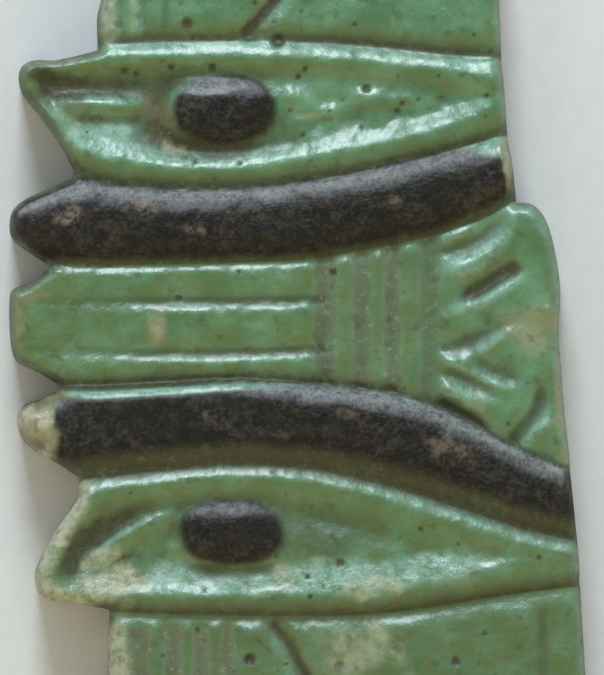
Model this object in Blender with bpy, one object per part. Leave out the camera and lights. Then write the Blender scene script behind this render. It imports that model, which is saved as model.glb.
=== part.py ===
"""Double wedjat amulet: two eyes of Horus, brow to brow on either side of a papyrus column.

The amulet is one pressed and glazed piece with a flat back. It lies on that back, with
the column along X, its open flower towards +X, and the relief facing +Z. The origin is
the middle of the back. Its outlines are drawn at a size of DRAWN_WIDTH by DRAWN_LENGTH
and then stretched to WIDTH by LENGTH. Lengths are millimetres times MM.
"""

import math

import bmesh
import bpy
from mathutils import Vector

MM = 0.001
NODE = "double_wedjat_amulet"

# Overall size of the plaque on its back
WIDTH = 28.9 * MM
LENGTH = 45.9 * MM
DRAWN_WIDTH = 28.9
DRAWN_LENGTH = 45.9

# Heights above the back
CHEEK_TOP = 5.2 * MM
SOCKET_TOP = 4.8 * MM
LID_TOP = 5.7 * MM
EYEBALL_TOP = 5.25 * MM
PUPIL_TOP = 5.9 * MM
CANTHUS_TOP = 5.35 * MM
BROW_TOP = 6.0 * MM
COLUMN_TOP = 5.3 * MM
UMBEL_TOP = 5.45 * MM

# Walls and edges, as they leave an open mould
DRAFT = 0.22 * MM
FACE_EDGE = 0.4 * MM
LID_EDGE = 0.55 * MM
BROW_EDGE = 1.05 * MM
EYEBALL_EDGE = 0.4 * MM
POCKET_SLOPE = 0.45 * MM
POCKET_FLARE = 0.12 * MM
LAP = 0.2 * MM

# Raised forms
CANTHUS_WIDTH = 1.1 * MM
PUPIL_LENGTH = 4.7 * MM
PUPIL_WIDTH = 3.0 * MM
EYEBALL_ABOVE_A = 1.7 * MM
EYEBALL_BELOW_A = 1.75 * MM
EYEBALL_ABOVE_B = 2.6 * MM
EYEBALL_BELOW_B = 1.2 * MM

# Sunk lines
REED_GROOVE_WIDTH = 0.5 * MM
REED_GROOVE_DEPTH = 0.32 * MM
TIE_GROOVE_WIDTH = 0.55 * MM
TIE_GROOVE_DEPTH = 0.3 * MM
SEPAL_GROOVE_WIDTH = 0.72 * MM
SEPAL_GROOVE_DEPTH = 0.5 * MM
FEATHER_GROOVE_WIDTH = 0.7 * MM
FEATHER_GROOVE_DEPTH = 0.3 * MM
WORN_FEATHER_WIDTH = 0.5 * MM
WORN_FEATHER_DEPTH = 0.14 * MM
CURL_GROOVE_WIDTH = 0.8 * MM
CURL_GROOVE_DEPTH = 0.42 * MM
CURL_RADIUS = 2.1 * MM
CURL_EYE_RADIUS = 0.75 * MM
TAIL_GROOVE_WIDTH = 0.75 * MM
TAIL_GROOVE_DEPTH = 0.16 * MM

# Fineness of the facets, and what keeps two faces from coinciding
STEP = 0.9 * MM
END_STEP = 0.62 * MM
CLOSEST = 0.15 * MM
BACK_SPARE = 1.0 * MM
OFF_FACE = 0.03 * MM
SLIVER = 0.012 * MM

GREEN_GLAZE = (0.10, 0.19, 0.10)
BLACK_GLAZE = (0.035, 0.034, 0.028)


def drawn(*pairs):
    """Points of the drawing, stretched to the amulet's size, in the plane of the back."""
    across = WIDTH / DRAWN_WIDTH
    along = LENGTH / DRAWN_LENGTH
    return [Vector((x * across, y * along)) for x, y in pairs]


# The plaque is seven bands, one above the other, that meet in six sunk joint lines.
# Each line runs from the left to the right.
CHEEK_EYE_A = drawn((-10.05, 14.1), (-7.4, 14.2), (-3.65, 14.3), (0.1, 14.25), (3.85, 14.0),
                    (7.1, 13.65), (10.2, 13.45))
EYE_BROW_A = drawn((-11.25, 7.75), (-9.4, 7.2), (-6.15, 6.95), (-2.9, 7.0), (0.1, 7.3),
                   (2.6, 7.7), (5.1, 8.25), (7.6, 8.85), (10.5, 9.7))
BROW_COLUMN_A = drawn((-12.6, 3.2), (-8.9, 3.15), (-4.9, 3.25), (0.1, 3.4), (2.1, 3.7),
                      (5.1, 4.25), (7.6, 4.85), (9.6, 5.65), (10.95, 6.5))
BROW_COLUMN_B = drawn((-12.1, -2.85), (-9.9, -2.9), (-6.15, -2.7), (-2.9, -2.55), (0.1, -2.75),
                      (3.1, -3.05), (5.6, -3.5), (8.1, -4.55), (10.85, -5.95), (13.65, -7.1))
EYE_BROW_B = drawn((-11.0, -7.6), (-8.9, -7.25), (-4.9, -6.85), (-1.9, -6.75), (1.6, -7.1),
                   (5.1, -7.95), (8.1, -8.9), (11.1, -9.9), (14.0, -10.55))
CHEEK_EYE_B = drawn((-9.45, -14.1), (-4.9, -14.25), (0.1, -14.3), (3.1, -14.25), (6.1, -13.95),
                    (9.1, -13.45), (12.1, -13.0), (14.1, -12.8))

# The left-hand ends of the bands, each from its upper joint line to its lower one
EYE_END_A = drawn((-10.05, 14.0), (-11.9, 13.55), (-13.2, 13.5), (-13.8, 13.2), (-14.0, 12.55),
                  (-13.8, 11.75), (-13.0, 10.75), (-12.0, 9.35), (-11.25, 8.0))
BROW_END_A = drawn((-11.35, 7.6), (-12.5, 7.1), (-13.6, 6.6), (-14.25, 6.05), (-14.45, 5.35),
                   (-14.35, 4.6), (-13.9, 4.15), (-12.6, 3.3))
COLUMN_END = drawn((-12.6, 3.0), (-13.5, 2.35), (-14.3, 2.05), (-14.45, 1.4), (-14.45, -0.1),
                   (-14.3, -1.15), (-14.0, -1.7), (-13.2, -2.05), (-12.1, -2.7))
BROW_END_B = drawn((-12.1, -3.05), (-12.9, -3.45), (-13.7, -3.75), (-14.05, -4.2),
                   (-14.05, -4.8), (-13.8, -5.5), (-13.1, -6.15), (-11.9, -6.8), (-11.0, -7.45))
EYE_END_B = drawn((-11.0, -7.8), (-11.05, -8.4), (-12.05, -9.85), (-12.9, -11.35),
                  (-13.2, -12.2), (-13.05, -13.0), (-12.6, -13.5), (-11.4, -13.65),
                  (-9.5, -14.0))

# The right-hand sides, each from the upper joint line to the lower one
EYE_SIDE_A = drawn((10.2, 13.35), (10.35, 12.0), (10.5, 9.8))
BROW_SIDE_A = drawn((10.5, 9.6), (10.75, 8.25), (10.93, 6.6))
UMBEL_SIDE = drawn((10.95, 6.4), (11.75, 6.3), (12.4, 5.55), (12.85, 4.1), (13.15, 2.0),
                   (13.05, 0.0), (13.2, -2.1), (13.35, -4.1), (13.6, -6.25), (13.63, -7.0))
BROW_SIDE_B = drawn((13.65, -7.2), (13.8, -8.75), (14.0, -10.45))
EYE_SIDE_B = drawn((14.02, -10.65), (14.1, -11.75), (14.1, -12.7))

# The free outlines of the cheeks: the upper one from its right-hand side round to the
# left, and the lower one from its left-hand side round to the right
CHEEK_RIM_A = drawn((10.2, 13.55), (10.1, 16.5), (10.0, 19.5), (9.8, 21.25), (9.1, 22.4),
                    (7.5, 22.8), (0.1, 22.95), (-7.0, 22.85), (-9.3, 22.4), (-9.65, 21.0),
                    (-9.75, 18.5), (-9.9, 16.5), (-10.1, 15.5), (-10.05, 14.2))
CHEEK_RIM_B = drawn((-9.45, -14.2), (-9.55, -16.0), (-9.55, -19.5), (-9.3, -21.6),
                    (-8.2, -22.6), (-5.9, -22.85), (0.1, -22.95), (6.1, -22.9),
                    (11.6, -22.75), (13.35, -22.1), (14.25, -20.5), (14.45, -18.5),
                    (14.3, -15.5), (14.15, -12.9))

# The pockets inside the lids: the lower edge from the left, then the upper edge back
POCKET_A = drawn((-13.1, 12.1), (-12.4, 11.0), (-11.6, 9.9), (-10.6, 9.05), (-8.9, 8.6),
                 (-7.4, 8.4), (-4.9, 8.2), (-2.4, 8.3), (0.1, 8.65), (2.6, 9.15), (5.1, 9.65),
                 (7.6, 10.4), (9.1, 11.05), (9.65, 11.6), (9.1, 12.0), (7.6, 12.35),
                 (5.1, 12.7), (2.6, 12.95), (-1.9, 13.1), (-7.4, 13.05), (-11.4, 12.95),
                 (-12.9, 12.75))
POCKET_B = drawn((-11.95, -12.4), (-11.2, -12.95), (-8.9, -13.05), (-4.9, -13.05),
                 (0.1, -13.0), (5.1, -12.6), (8.1, -12.05), (10.1, -11.6), (10.9, -11.25),
                 (10.1, -10.85), (7.6, -10.0), (5.1, -9.15), (2.6, -8.4), (0.1, -7.85),
                 (-2.4, -7.65), (-4.9, -7.8), (-7.4, -8.05), (-9.0, -8.3), (-10.2, -8.95),
                 (-11.1, -10.0), (-11.85, -11.3))

# The tie and the umbel: a sunk line between each two sepals, from the tie outwards
TIE_JOINTS = (1.35, 3.15, 4.6)
TIE_ENDS = (5.0, -4.2)
UMBEL_FOOT = drawn((6.5, 4.55), (6.5, -3.8))
SEPAL_JOINTS = (
    ((7.35, 3.95), (9.9, 5.3)),
    ((8.4, 1.55), (11.5, 3.4)),
    ((7.3, -1.0), (10.4, 0.2)),
    ((8.3, -1.3), (11.4, -2.85)),
    ((7.1, -2.05), (9.9, -3.45)),
    ((7.1, -3.6), (9.4, -5.1)),
)
LEAF_JOINT = drawn((10.85, -5.7), (11.6, -5.0), (12.2, -4.2), (12.75, -3.2))
REED_JOINTS = (
    drawn((-12.3, 1.4), (-8.0, 1.4), (-3.0, 1.4), (1.35, 1.45)),
    drawn((-12.3, -1.05), (-8.0, -1.15), (-3.0, -1.15), (1.35, -0.9)),
)

# The cheeks' sunk lines: where each upright line stands, and the run-in of each curl
FEATHERS_A = (-8.95, -7.75, -6.6)
FEATHERS_B = (-7.8, -6.25, -4.9, -3.6)
FEATHER_ENDS_A = (14.7, 21.5)
FEATHER_ENDS_B = (-14.75, -21.7)
CURL_RUN_A = drawn((-2.9, 14.5), (-1.8, 15.65), (-0.85, 16.8), (0.6, 18.75), (2.6, 20.6))
CURL_CENTRE_A = drawn((5.3, 19.4))[0]
CURL_RUN_B = drawn((-1.5, -14.4), (-0.5, -15.5), (0.4, -17.15), (2.0, -19.3), (4.4, -20.95))
CURL_CENTRE_B = drawn((7.3, -19.3))[0]
TAIL_LINE_B = drawn((12.2, -13.3), (12.2, -20.5))


def smooth(points, step):
    """The points of a smooth curve through the given ones, about a step apart."""
    path = [points[0]]
    last = len(points) - 1
    for i in range(last):
        p0, p1, p2, p3 = points[max(i - 1, 0)], points[i], points[i + 1], points[min(i + 2, last)]
        count = max(1, round((p2 - p1).length / step))
        for k in range(1, count + 1):
            t = k / count
            path.append(
                0.5 * (2 * p1 + (p2 - p0) * t + (2 * p0 - 5 * p1 + 4 * p2 - p3) * t * t
                       + (3 * p1 - p0 - 3 * p2 + p3) * t ** 3)
            )
    return path


def lapped(line, way):
    """A joint line moved up (way 1) or down (way -1) over the next band.

    Its ends are drawn in from the plaque's sides, where the walls of two bands would
    otherwise coincide.
    """
    moved = [point + Vector((0, way * LAP)) for point in line]
    moved[0].x += LAP
    moved[-1].x -= LAP
    return smooth(moved, STEP)


def band(end, upper, lower, side):
    """The outline of a band of the plaque. It laps over its neighbours at the joint lines."""
    return (smooth(end, END_STEP) + lapped(lower, -1) + smooth(side, END_STEP)[::-1]
            + lapped(upper, 1)[::-1])


def without_repeats(outline):
    """The outline with points that nearly coincide taken out."""
    kept = [outline[0]]
    for point in outline[1:]:
        if (point - kept[-1]).length > CLOSEST:
            kept.append(point)
    while (kept[-1] - kept[0]).length < CLOSEST:
        kept.pop()
    return kept


def distance_to(outline, point):
    """How far a point is from the nearest side of a closed outline."""
    nearest = math.inf
    for start, end in zip(outline, outline[1:] + outline[:1]):
        side = end - start
        share = min(1, max(0, (point - start).dot(side) / side.length_squared))
        nearest = min(nearest, (point - start - side * share).length)
    return nearest


def moved_in(outline, inset):
    """A counter-clockwise outline moved inwards, with as many points as before.

    A point that would pass the middle line of a narrow place is laid on its neighbour.
    """
    count = len(outline)
    sharpest = 0.6
    ring = []
    for i, point in enumerate(outline):
        before = (point - outline[i - 1]).normalized()
        after = (outline[(i + 1) % count] - point).normalized()
        inwards = Vector((-before.y - after.y, before.x + after.x)).normalized()
        stretch = max(sharpest, inwards.dot(Vector((-before.y, before.x))))
        ring.append(point + inwards * inset / stretch)
    clear = [distance_to(outline, point) >= 0.998 * inset for point in ring]
    kept = list(ring)
    for i in range(count):
        if not clear[i]:
            reach = next(k for k in range(1, count) if clear[i - k] or clear[(i + k) % count])
            kept[i] = ring[i - reach] if clear[i - reach] else ring[(i + reach) % count]
    return kept


def glaze(name, colour, roughness):
    """A glossy vitreous glaze."""
    material = bpy.data.materials.new(name)
    material.use_nodes = True
    shader = material.node_tree.nodes["Principled BSDF"]
    shader.inputs["Base Color"].default_value = (*colour, 1)
    shader.inputs["Roughness"].default_value = roughness
    shader.inputs["Metallic"].default_value = 0.0
    return material


def helper(name, mesh, material=None):
    """An object that is joined to the amulet or cut from it, and isn't a part itself."""
    thing = bpy.data.objects.new(name, mesh)
    if material:
        thing.data.materials.append(material)
    cutters.objects.link(thing)
    thing.hide_render = True
    thing.display_type = "WIRE"
    return thing


def layered(name, outline, levels, material=None):
    """A closed body whose outline moves in or out from level to level, from the foot up.

    Each level is how far the outline is moved in, and its height.
    """
    outline = without_repeats(outline)
    shape = bmesh.new()
    rings = [
        [shape.verts.new((point.x, point.y, height)) for point in moved_in(outline, inset)]
        for inset, height in levels
    ]
    count = len(outline)
    for low, high in zip(rings, rings[1:]):
        for i in range(count):
            j = (i + 1) % count
            shape.faces.new((low[i], low[j], high[j], high[i]))
    shape.faces.new(rings[0][::-1])
    shape.faces.new(rings[-1])
    bmesh.ops.remove_doubles(shape, verts=shape.verts, dist=1e-6)
    bmesh.ops.triangulate(shape, faces=shape.faces)
    mesh = bpy.data.meshes.new(name)
    shape.to_mesh(mesh)
    shape.free()
    return helper(name, mesh, material)


def slab(name, outline, top, edge, material, foot=-BACK_SPARE, rounding=2):
    """A drafted slab with a rounded upper edge. It has its full size on the amulet's back."""
    levels = [(DRAFT * foot / (top - edge), foot)]
    for k in range(rounding + 1):
        turn = math.pi / 2 * k / rounding
        levels.append((DRAFT + edge * (1 - math.cos(turn)), top - edge * (1 - math.sin(turn))))
    return layered(name, outline, levels, material)


def swept(name, path, width, height, level, material=None, taper=0.55):
    """A rounded line along a path in the plane, half above the level and half below.

    Width is across the line, and height is from the level to its crest or to its bed. The
    middle is kept a little off the level, because no face may lie in the face it meets.
    """
    curve = bpy.data.curves.new(name, "CURVE")
    curve.dimensions = "3D"
    curve.bevel_depth = width / 2
    curve.bevel_resolution = 2
    curve.use_fill_caps = True
    spline = curve.splines.new("POLY")
    spline.points.add(len(path) - 1)
    last = len(path) - 1
    for i, (point, place) in enumerate(zip(spline.points, path)):
        point.co = (place.x, place.y, 0, 1)
        point.radius = taper if i in (0, last) else 1.0
    tube = bpy.data.objects.new(name + "_tube", curve)
    cutters.objects.link(tube)
    graph = bpy.context.evaluated_depsgraph_get()
    mesh = bpy.data.meshes.new_from_object(tube.evaluated_get(graph))
    bpy.data.objects.remove(tube)
    shape = bmesh.new()
    shape.from_mesh(mesh)
    bmesh.ops.remove_doubles(shape, verts=shape.verts, dist=1e-6)
    for vertex in shape.verts:
        vertex.co.z = level + OFF_FACE + vertex.co.z * (height + OFF_FACE) / (width / 2)
    bmesh.ops.recalc_face_normals(shape, faces=shape.faces)
    shape.to_mesh(mesh)
    shape.free()
    mesh.materials.clear()
    return helper(name, mesh, material)


def dome(name, centre, tilt):
    """The raised black button of a pupil, turned by a tilt in degrees."""
    shape = bmesh.new()
    bmesh.ops.create_uvsphere(shape, u_segments=20, v_segments=10, radius=1.0)
    turn = math.radians(tilt)
    level = SOCKET_TOP + OFF_FACE
    for vertex in shape.verts:
        x = vertex.co.x * PUPIL_LENGTH / 2
        y = vertex.co.y * PUPIL_WIDTH / 2
        vertex.co = Vector((centre.x + x * math.cos(turn) - y * math.sin(turn),
                            centre.y + x * math.sin(turn) + y * math.cos(turn),
                            level + vertex.co.z * (PUPIL_TOP - level)))
    mesh = bpy.data.meshes.new(name)
    shape.to_mesh(mesh)
    shape.free()
    return helper(name, mesh, black)


def combine(base, others, operation):
    """Joins the others to the base, or cuts them from it, and returns the base."""
    for other in others:
        step = base.modifiers.new(other.name, "BOOLEAN")
        step.operation = operation
        step.object = other
        step.solver = "EXACT"
        step.material_mode = "TRANSFER"
    graph = bpy.context.evaluated_depsgraph_get()
    mesh = bpy.data.meshes.new_from_object(base.evaluated_get(graph))
    base.modifiers.clear()
    base.data = mesh
    return base


def merge_slivers(mesh):
    """Booleans leave points that nearly coincide, and slivers between them: both go."""
    shape = bmesh.new()
    shape.from_mesh(mesh)
    bmesh.ops.remove_doubles(shape, verts=shape.verts, dist=SLIVER)
    bmesh.ops.dissolve_degenerate(shape, edges=shape.edges, dist=SLIVER)
    bmesh.ops.triangulate(shape, faces=shape.faces)
    shape.to_mesh(mesh)
    shape.free()


def almond(left, right, above, below, steps=14):
    """The outline of an eyeball between its two corners."""
    def arc(share, bulge):
        rise = bulge * math.sin(math.pi * share ** 0.72) ** 0.8
        return left.lerp(right, share) + Vector((0, rise))

    upper = [arc(k / steps, above) for k in range(steps - 1, 0, -1)]
    return [right] + upper + [left] + [arc(k / steps, -below) for k in range(1, steps)]


def curl(run, centre, first_angle, turn):
    """A line that runs in to a coil. The angles are in degrees."""
    coil = []
    steps = round(abs(turn) / 30)
    for k in range(steps + 1):
        share = k / steps
        angle = math.radians(first_angle + turn * share)
        radius = CURL_RADIUS + (CURL_EYE_RADIUS - CURL_RADIUS) * share
        coil.append(centre + radius * Vector((math.cos(angle), math.sin(angle))))
    return smooth(run, STEP) + coil


def eye(tag, outline, pocket, ball, pupil_at, pupil_tilt, canthus):
    """An eye: the lids round a sunk pocket, and in it the ball, the pupil and the inner corner."""
    lids = slab(f"lids_{tag}", outline, LID_TOP, LID_EDGE, green)
    hollow = layered(f"pocket_{tag}", smooth(pocket + pocket[:1], STEP)[:-1], (
        (POCKET_SLOPE, SOCKET_TOP),
        (0, LID_TOP - POCKET_FLARE),
        (-POCKET_FLARE, LID_TOP + POCKET_FLARE),
    ))
    combine(lids, [hollow], "DIFFERENCE")
    eyeball = slab(f"eyeball_{tag}", ball, EYEBALL_TOP, EYEBALL_EDGE, green,
                   foot=SOCKET_TOP - BACK_SPARE)
    corner = swept(f"canthus_{tag}", smooth(canthus, STEP), CANTHUS_WIDTH,
                   CANTHUS_TOP - SOCKET_TOP, SOCKET_TOP, green)
    return [lids, eyeball, corner, dome(f"pupil_{tag}", pupil_at, pupil_tilt)]


def papyrus_column():
    """The lying column: three reeds, a tie of three bands and the fanned umbel."""
    top, bottom = UMBEL_FOOT
    lap = Vector((2 * LAP, 0))
    upper = [point for point in BROW_COLUMN_A if point.x < top.x - STEP] + [top + lap]
    lower = [point for point in BROW_COLUMN_B if point.x < bottom.x - STEP / 2] + [bottom + lap]
    outline = smooth(COLUMN_END, END_STEP) + lapped(lower, -1) + lapped(upper, 1)[::-1]
    shaft = slab("column_shaft", outline, COLUMN_TOP, FACE_EDGE, green)
    cuts = [
        swept(f"reed_joint_{k}", smooth(line, 2 * STEP), REED_GROOVE_WIDTH, REED_GROOVE_DEPTH,
              COLUMN_TOP)
        for k, line in enumerate(REED_JOINTS)
    ]
    cuts += [
        swept(f"tie_joint_{k}", drawn((x, TIE_ENDS[0]), (x, TIE_ENDS[1])), TIE_GROOVE_WIDTH,
              TIE_GROOVE_DEPTH, COLUMN_TOP)
        for k, x in enumerate(TIE_JOINTS)
    ]
    combine(shaft, cuts, "DIFFERENCE")

    upper = [top - lap] + [point for point in BROW_COLUMN_A if point.x > top.x + STEP / 2]
    lower = [bottom - lap] + [point for point in BROW_COLUMN_B if point.x > bottom.x + STEP / 2]
    outline = lapped(lower, -1) + smooth(UMBEL_SIDE, END_STEP)[::-1] + lapped(upper, 1)[::-1]
    umbel = slab("umbel", outline, UMBEL_TOP, FACE_EDGE, green)
    joints = [smooth(drawn(start, end), 2 * STEP) for start, end in SEPAL_JOINTS]
    joints.append(smooth(LEAF_JOINT, STEP))
    cuts = [
        swept(f"sepal_joint_{k}", line, SEPAL_GROOVE_WIDTH, SEPAL_GROOVE_DEPTH, UMBEL_TOP,
              taper=0.4)
        for k, line in enumerate(joints)
    ]
    combine(umbel, cuts, "DIFFERENCE")
    return [shaft, umbel]


def cheek(tag, outline, feathers, ends, width, depth, curl_line, others=()):
    """The cheek under an eye: feather lines in front, then the curl."""
    body = slab(f"cheek_{tag}", outline, CHEEK_TOP, FACE_EDGE, green)
    cuts = [
        swept(f"feather_{tag}_{k}", drawn((x, ends[0]), (x, ends[1])), width, depth, CHEEK_TOP)
        for k, x in enumerate(feathers)
    ]
    cuts.append(swept(f"curl_{tag}", curl_line, CURL_GROOVE_WIDTH, CURL_GROOVE_DEPTH, CHEEK_TOP))
    return combine(body, cuts + list(others), "DIFFERENCE")


def flat_bed():
    """What is below the back of the amulet: the table that it was pressed on."""
    shape = bmesh.new()
    bmesh.ops.create_cube(shape, size=1.0)
    for vertex in shape.verts:
        vertex.co = Vector((vertex.co.x * 2 * WIDTH, vertex.co.y * 2 * LENGTH,
                            (vertex.co.z - 0.5) * 2 * BACK_SPARE))
    mesh = bpy.data.meshes.new("bed")
    shape.to_mesh(mesh)
    shape.free()
    return helper("bed", mesh)


for thing in list(bpy.data.objects):
    bpy.data.objects.remove(thing)
amulet_parts = bpy.data.collections.new("double wedjat amulet")
cutters = bpy.data.collections.new("cutters")
for collection in (amulet_parts, cutters):
    bpy.context.scene.collection.children.link(collection)
green = glaze("green_glaze", GREEN_GLAZE, 0.28)
black = glaze("black_glaze", BLACK_GLAZE, 0.4)

forms = eye(
    "a", band(EYE_END_A, CHEEK_EYE_A, EYE_BROW_A, EYE_SIDE_A), POCKET_A,
    ball=almond(*drawn((-7.0, 10.9), (8.9, 11.6)), EYEBALL_ABOVE_A, EYEBALL_BELOW_A),
    pupil_at=drawn((-3.5, 10.95))[0], pupil_tilt=5,
    canthus=drawn((-11.7, 10.9), (-9.5, 10.85), (-7.3, 10.8)),
)
forms += eye(
    "b", band(EYE_END_B, EYE_BROW_B, CHEEK_EYE_B, EYE_SIDE_B), POCKET_B,
    ball=almond(*drawn((-7.2, -11.3), (9.1, -11.4)), EYEBALL_ABOVE_B, EYEBALL_BELOW_B),
    pupil_at=drawn((-3.2, -10.35))[0], pupil_tilt=-2,
    canthus=drawn((-11.1, -12.0), (-9.4, -10.9), (-8.0, -10.0), (-6.6, -9.3)),
)
forms.append(slab("brow_a", band(BROW_END_A, EYE_BROW_A, BROW_COLUMN_A, BROW_SIDE_A),
                  BROW_TOP, BROW_EDGE, black, rounding=3))
forms.append(slab("brow_b", band(BROW_END_B, BROW_COLUMN_B, EYE_BROW_B, BROW_SIDE_B),
                  BROW_TOP, BROW_EDGE, black, rounding=3))
forms += papyrus_column()
forms.append(cheek(
    "a", smooth(CHEEK_RIM_A, STEP) + lapped(CHEEK_EYE_A, -1),
    FEATHERS_A, FEATHER_ENDS_A, WORN_FEATHER_WIDTH, WORN_FEATHER_DEPTH,
    curl(CURL_RUN_A, CURL_CENTRE_A, 110, -420),
))
forms.append(cheek(
    "b", smooth(CHEEK_RIM_B, STEP) + lapped(CHEEK_EYE_B, 1)[::-1],
    FEATHERS_B, FEATHER_ENDS_B, FEATHER_GROOVE_WIDTH, FEATHER_GROOVE_DEPTH,
    curl(CURL_RUN_B, CURL_CENTRE_B, -110, 420),
    others=[swept("tail_b", TAIL_LINE_B, TAIL_GROOVE_WIDTH, TAIL_GROOVE_DEPTH, CHEEK_TOP)],
))

amulet = combine(forms[0], forms[1:], "UNION")
combine(amulet, [flat_bed()], "DIFFERENCE")
merge_slivers(amulet.data)
cutters.objects.unlink(amulet)
amulet_parts.objects.link(amulet)
amulet.name = NODE
amulet.data.name = NODE
amulet.hide_render = False
amulet.display_type = "TEXTURED"
amulet.data.shade_smooth()
amulet.data.set_sharp_from_angle(angle=math.radians(35))
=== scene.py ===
"""Double wedjat amulet: two wedjat eyes, brow to brow on either side of a papyrus column.

The amulet is one pressed and glazed plaque, so its forms are worked one after the other
into the height of the same face, with the colour that the glaze has on each. Lengths in
the drawing are millimetres, in the frame of the CAD: +X along the column towards its open
flower, +Y towards the eye that is upside down, +Z out of the relief.
"""

import bmesh
import bpy
import numpy as np
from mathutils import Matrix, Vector
from mathutils.geometry import delaunay_2d_cdt


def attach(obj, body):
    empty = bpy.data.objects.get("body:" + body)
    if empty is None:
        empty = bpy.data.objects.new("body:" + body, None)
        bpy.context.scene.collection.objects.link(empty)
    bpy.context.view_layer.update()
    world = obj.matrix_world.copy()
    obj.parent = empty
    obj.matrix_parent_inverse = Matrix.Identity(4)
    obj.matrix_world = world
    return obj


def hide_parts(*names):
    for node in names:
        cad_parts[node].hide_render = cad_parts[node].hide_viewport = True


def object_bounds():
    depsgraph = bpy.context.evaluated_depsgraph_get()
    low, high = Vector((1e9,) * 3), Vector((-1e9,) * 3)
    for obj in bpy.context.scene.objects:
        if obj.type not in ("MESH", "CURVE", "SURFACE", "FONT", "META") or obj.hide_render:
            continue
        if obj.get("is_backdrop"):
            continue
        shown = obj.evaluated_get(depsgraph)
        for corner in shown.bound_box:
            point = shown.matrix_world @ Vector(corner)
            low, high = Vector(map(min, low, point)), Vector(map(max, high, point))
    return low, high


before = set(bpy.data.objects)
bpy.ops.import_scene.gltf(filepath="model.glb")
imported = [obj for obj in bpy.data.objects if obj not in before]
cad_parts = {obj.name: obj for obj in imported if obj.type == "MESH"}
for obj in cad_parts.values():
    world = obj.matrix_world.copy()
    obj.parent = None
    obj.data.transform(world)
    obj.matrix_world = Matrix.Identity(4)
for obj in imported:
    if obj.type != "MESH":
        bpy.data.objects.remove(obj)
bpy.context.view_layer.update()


# The plaque. A lump of fine quartz paste, pressed face down into an open clay mould and
# trimmed flat at the back. Its outline follows the seven bands of the relief, with a
# notch at the left wherever two bands meet, and its walls lean in a little towards the face.

CHEEK_RIM_A = [(10.2, 13.55), (10.1, 16.5), (10.0, 19.5), (9.8, 21.25), (9.1, 22.4), (7.5, 22.8),
               (0.1, 22.95), (-7.0, 22.85), (-9.3, 22.4), (-9.65, 21.0), (-9.75, 18.5),
               (-9.9, 16.5), (-10.1, 15.5), (-10.05, 14.2)]
EYE_END_A = [(-10.05, 14.0), (-11.9, 13.55), (-13.2, 13.5), (-13.8, 13.2), (-14.0, 12.55),
             (-13.8, 11.75), (-13.0, 10.75), (-12.0, 9.35), (-11.25, 8.0)]
BROW_END_A = [(-11.35, 7.6), (-12.5, 7.1), (-13.6, 6.6), (-14.25, 6.05), (-14.45, 5.35),
              (-14.35, 4.6), (-13.9, 4.15), (-12.6, 3.3)]
COLUMN_END = [(-12.6, 3.0), (-13.5, 2.35), (-14.3, 2.05), (-14.45, 1.4), (-14.45, -0.1),
              (-14.3, -1.15), (-14.0, -1.7), (-13.2, -2.05), (-12.1, -2.7)]
BROW_END_B = [(-12.1, -3.05), (-12.9, -3.45), (-13.7, -3.75), (-14.05, -4.2), (-14.05, -4.8),
              (-13.8, -5.5), (-13.1, -6.15), (-11.9, -6.8), (-11.0, -7.45)]
EYE_END_B = [(-11.0, -7.8), (-11.05, -8.4), (-12.05, -9.85), (-12.9, -11.35), (-13.2, -12.2),
             (-13.05, -13.0), (-12.6, -13.5), (-11.4, -13.65), (-9.5, -14.0)]
CHEEK_RIM_B = [(-9.45, -14.2), (-9.55, -16.0), (-9.55, -19.5), (-9.3, -21.6), (-8.2, -22.6),
               (-5.9, -22.85), (0.1, -22.95), (6.1, -22.9), (11.6, -22.75), (13.35, -22.1),
               (14.25, -20.5), (14.45, -18.5), (14.3, -15.5), (14.15, -12.9)]
EYE_SIDE_B = [(14.1, -12.7), (14.1, -11.75), (14.02, -10.65)]
BROW_SIDE_B = [(14.0, -10.45), (13.8, -8.75), (13.65, -7.2)]
UMBEL_SIDE = [(13.63, -7.0), (13.6, -6.25), (13.35, -4.1), (13.2, -2.1), (13.05, 0.0),
              (13.15, 2.0), (12.85, 4.1), (12.4, 5.55), (11.75, 6.3), (10.95, 6.4)]
BROW_SIDE_A = [(10.93, 6.6), (10.75, 8.25), (10.5, 9.6)]
EYE_SIDE_A = [(10.5, 9.8), (10.35, 12.0), (10.2, 13.35)]
DRAFT = 0.08
JOINTS = {
    "cheek_eye_a": [(-10.05, 14.1), (-7.4, 14.2), (-3.65, 14.3), (0.1, 14.25), (3.85, 14.0),
                    (7.1, 13.65), (10.2, 13.45)],
    "eye_brow_a": [(-11.25, 7.75), (-9.4, 7.2), (-6.15, 6.95), (-2.9, 7.0), (0.1, 7.3),
                   (2.6, 7.7), (5.1, 8.25), (7.6, 8.85), (10.5, 9.7)],
    "brow_column_a": [(-12.6, 3.2), (-8.9, 3.15), (-4.9, 3.25), (0.1, 3.4), (2.1, 3.7),
                      (5.1, 4.25), (7.6, 4.85), (9.6, 5.65), (10.95, 6.5)],
    "brow_column_b": [(-12.1, -2.85), (-9.9, -2.9), (-6.15, -2.7), (-2.9, -2.55), (0.1, -2.75),
                      (3.1, -3.05), (5.6, -3.5), (8.1, -4.55), (10.85, -5.95), (13.65, -7.1)],
    "eye_brow_b": [(-11.0, -7.6), (-8.9, -7.25), (-4.9, -6.85), (-1.9, -6.75), (1.6, -7.1),
                   (5.1, -7.95), (8.1, -8.9), (11.1, -9.9), (14.0, -10.55)],
    "cheek_eye_b": [(-9.45, -14.1), (-4.9, -14.25), (0.1, -14.3), (3.1, -14.25), (6.1, -13.95),
                    (9.1, -13.45), (12.1, -13.0), (14.1, -12.8)],
}


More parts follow.
